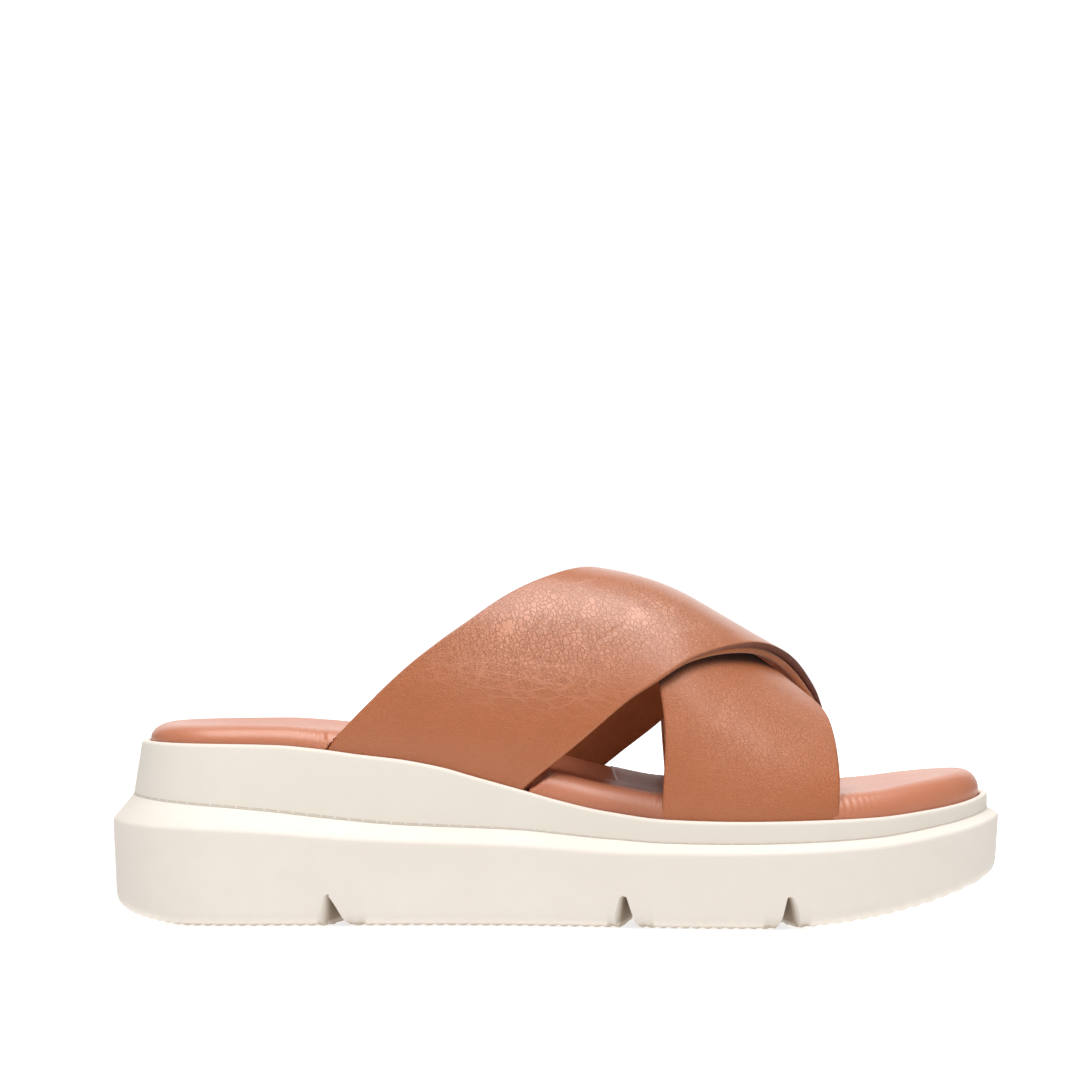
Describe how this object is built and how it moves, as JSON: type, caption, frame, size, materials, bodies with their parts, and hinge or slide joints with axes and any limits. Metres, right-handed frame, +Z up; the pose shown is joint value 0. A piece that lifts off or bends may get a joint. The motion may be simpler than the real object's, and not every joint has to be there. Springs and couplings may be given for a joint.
{
  "type": "crossed-strap slide sandal",
  "caption": "Slide sandal for the right foot, with two wide crossed leather straps over a padded footbed on a low two-tier wedge sole with flex grooves.",
  "frame": {"origin": "on the ground, below the centre of the bounding box", "axes": "+X to the toe, +Y to the inner side of the right foot, +Z up"},
  "size_m": [0.2614, 0.09, 0.1022],
  "materials": {
    "outsole_foam": "matt moulded cream foam rubber",
    "midsole_foam": "matt moulded cream foam rubber",
    "footbed_leather": "smooth padded tan leather",
    "strap_leather": "grained tan leather with a brown edge"
  },
  "bodies": {
    "root": {"outsole": "outsole_foam", "midsole": "midsole_foam", "insole": "footbed_leather", "upper": "strap_leather"}
  },
  "joints": []
}
